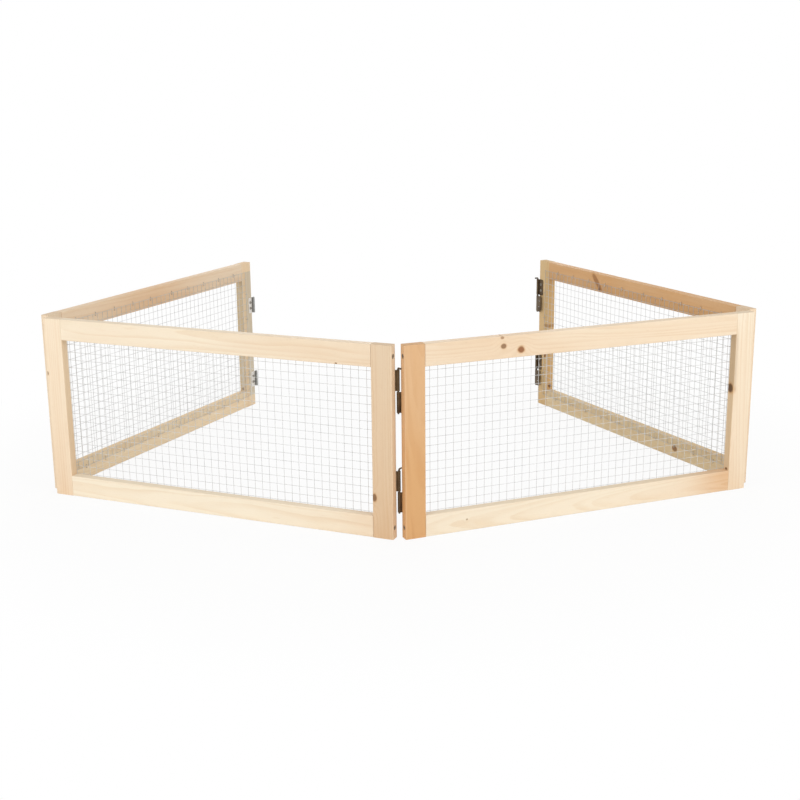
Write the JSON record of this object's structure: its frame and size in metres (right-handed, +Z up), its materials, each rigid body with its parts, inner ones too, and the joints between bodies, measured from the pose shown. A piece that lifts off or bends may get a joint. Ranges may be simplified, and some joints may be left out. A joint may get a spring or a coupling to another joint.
{
  "type": "guinea pig run",
  "caption": "Low folding pet run of hinged pine-framed panels with welded wire mesh, standing as an open-backed pen.",
  "frame": {"origin": "on the floor, in the middle of the box around the run as it stands", "axes": "+Z up, +Y from the front corner to the open back, +X to the right as seen from the front"},
  "size_m": [1.1744, 0.8066, 0.3],
  "materials": {
    "pine": "planed, pale and knotty",
    "galvanised_wire": "dull zinc coat on welded wire",
    "hinge_steel": "dull brown-grey passivated sheet",
    "pin_steel": "dull drawn rod",
    "screw_steel": "zinc-plated screws",
    "staple_wire": "bright galvanised staples"
  },
  "bodies": {
    "rear_left_panel": {"rear_left_left_stile": "pine", "rear_left_right_stile": "pine", "rear_left_top_rail": "pine", "rear_left_bottom_rail": "pine", "rear_left_wire_net": "galvanised_wire", "rear_left_staples": "staple_wire", "rear_left_frame_screws": "screw_steel", "rear_left_hinge_screws": "screw_steel", "left_corner_lower_hinge_top_leaf": "hinge_steel", "left_end_lower_hinge_bottom_leaf": "hinge_steel", "left_corner_upper_hinge_top_leaf": "hinge_steel", "left_end_upper_hinge_bottom_leaf": "hinge_steel"},
    "front_left_panel": {"front_left_left_stile": "pine", "front_left_right_stile": "pine", "front_left_top_rail": "pine", "front_left_bottom_rail": "pine", "front_left_wire_net": "galvanised_wire", "front_left_staples": "staple_wire", "front_left_frame_screws": "screw_steel", "front_left_hinge_screws": "screw_steel", "left_corner_lower_hinge_bottom_leaf": "hinge_steel", "left_corner_lower_hinge_pin": "pin_steel", "front_corner_lower_hinge_top_leaf": "hinge_steel", "left_corner_upper_hinge_bottom_leaf": "hinge_steel", "left_corner_upper_hinge_pin": "pin_steel", "front_corner_upper_hinge_top_leaf": "hinge_steel"},
    "front_right_panel": {"front_right_left_stile": "pine", "front_right_right_stile": "pine", "front_right_top_rail": "pine", "front_right_bottom_rail": "pine", "front_right_wire_net": "galvanised_wire", "front_right_staples": "staple_wire", "front_right_frame_screws": "screw_steel", "front_right_hinge_screws": "screw_steel", "front_corner_lower_hinge_bottom_leaf": "hinge_steel", "front_corner_lower_hinge_pin": "pin_steel", "right_corner_lower_hinge_top_leaf": "hinge_steel", "front_corner_upper_hinge_bottom_leaf": "hinge_steel", "front_corner_upper_hinge_pin": "pin_steel", "right_corner_upper_hinge_top_leaf": "hinge_steel"},
    "rear_right_panel": {"rear_right_left_stile": "pine", "rear_right_right_stile": "pine", "rear_right_top_rail": "pine", "rear_right_bottom_rail": "pine", "rear_right_wire_net": "galvanised_wire", "rear_right_staples": "staple_wire", "rear_right_frame_screws": "screw_steel", "rear_right_hinge_screws": "screw_steel", "right_corner_lower_hinge_bottom_leaf": "hinge_steel", "right_corner_lower_hinge_pin": "pin_steel", "right_end_lower_hinge_top_leaf": "hinge_steel", "right_corner_upper_hinge_bottom_leaf": "hinge_steel", "right_corner_upper_hinge_pin": "pin_steel", "right_end_upper_hinge_top_leaf": "hinge_steel"},
    "lower_loose_leaf": {"right_end_lower_hinge_bottom_leaf": "hinge_steel", "right_end_lower_hinge_pin": "pin_steel"},
    "upper_loose_leaf": {"right_end_upper_hinge_bottom_leaf": "hinge_steel", "right_end_upper_hinge_pin": "pin_steel"}
  },
  "joints": [
    {"name": "front_corner_hinge", "type": "hinge", "parent": "front_left_panel", "child": "front_right_panel", "pos_m": [0.00019, -0.38873, 0.15], "axis": [0, 0, -1], "range_deg": [-35, 59]},
    {"name": "left_corner_hinge", "type": "hinge", "parent": "front_left_panel", "child": "rear_left_panel", "pos_m": [-0.57337, -0.157, 0.15], "axis": [0, 0, 1], "range_deg": [-4, 109]},
    {"name": "right_corner_hinge", "type": "hinge", "parent": "front_right_panel", "child": "rear_right_panel", "pos_m": [0.57375, -0.157, 0.15], "axis": [0, 0, -1], "range_deg": [-2, 111]},
    {"name": "lower_loose_leaf_hinge", "type": "hinge", "parent": "rear_right_panel", "child": "lower_loose_leaf", "pos_m": [0.28333, 0.38919, 0.072], "axis": [0, 0, -1], "range_deg": [-3, 190]},
    {"name": "upper_loose_leaf_hinge", "type": "hinge", "parent": "rear_right_panel", "child": "upper_loose_leaf", "pos_m": [0.28333, 0.38919, 0.228], "axis": [0, 0, -1], "range_deg": [-3, 190]}
  ]
}
